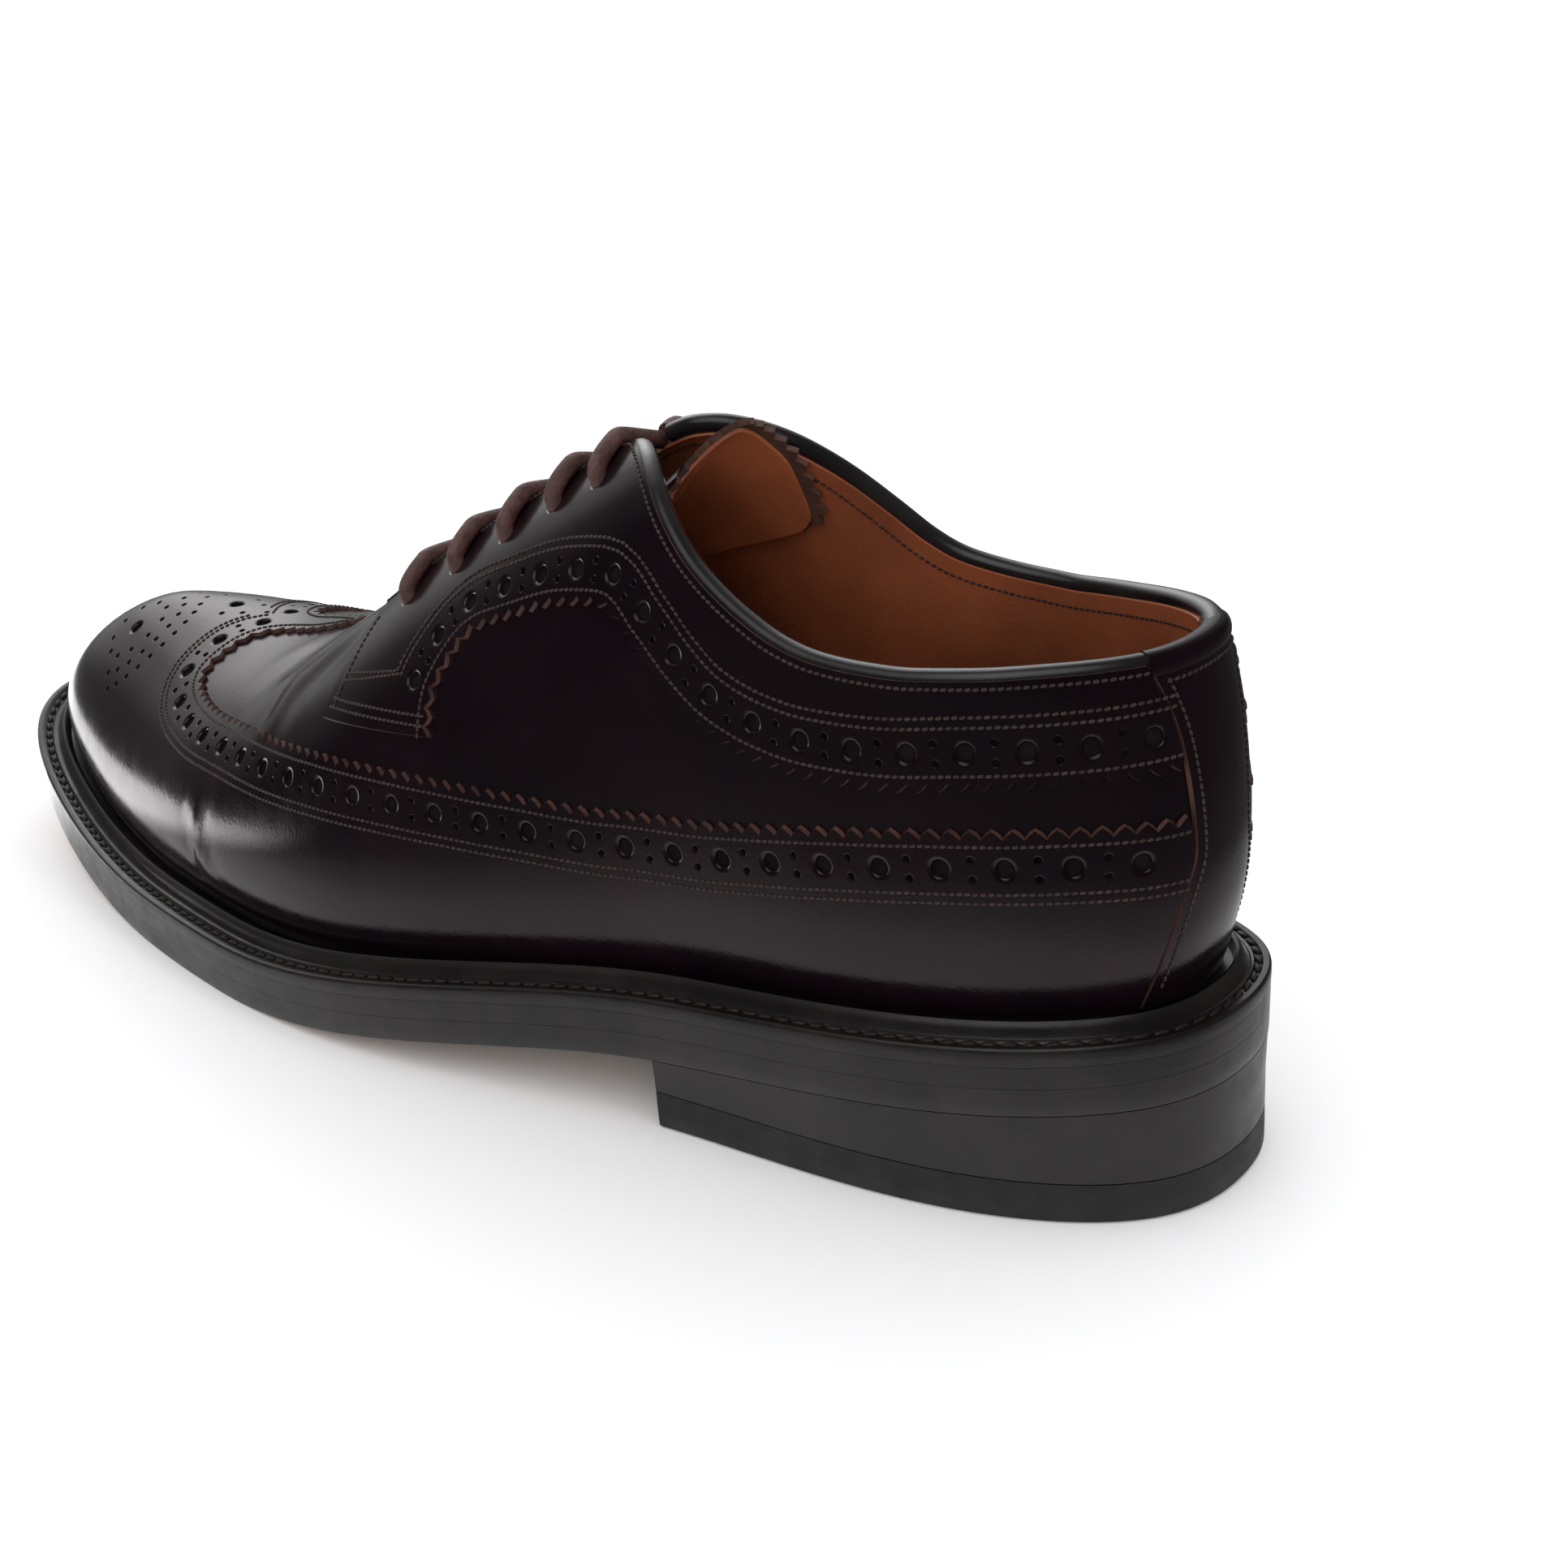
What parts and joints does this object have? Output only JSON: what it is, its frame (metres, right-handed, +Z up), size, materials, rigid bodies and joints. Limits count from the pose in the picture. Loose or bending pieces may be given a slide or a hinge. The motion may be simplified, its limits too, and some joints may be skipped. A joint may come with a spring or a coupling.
{
  "type": "brogue derby shoe",
  "caption": "Left long wing brogue derby: a hollow leather upper with winged cap, tabbed lace facings and tongue on a storm-welted leather sole with a stacked heel.",
  "frame": {"origin": "centre of the bounding box, on the floor under the sole", "axes": "+Y from heel to toe, +X to the inner side of the foot, +Z up"},
  "size_m": [0.1074, 0.3056, 0.112],
  "materials": {
    "upper_leather": "high gloss",
    "edge_leather": "satin",
    "lining_leather": "matt",
    "binding_leather": "gloss",
    "lift_rubber": "matt",
    "lace_cord": "waxed"
  },
  "bodies": {
    "root": {"upper": "upper_leather", "wing_cap": "upper_leather", "facing_lateral": "upper_leather", "facing_medial": "upper_leather", "back_strap": "upper_leather", "tongue": "upper_leather", "collar_binding": "binding_leather", "insole": "lining_leather", "storm_welt": "edge_leather", "midsole": "edge_leather", "outsole": "edge_leather", "heel_stack": "edge_leather", "top_lift": "lift_rubber", "lace_bar_1": "lace_cord", "lace_bar_2": "lace_cord", "lace_bar_3": "lace_cord", "lace_bar_4": "lace_cord", "lace_bar_5": "lace_cord"}
  },
  "joints": []
}
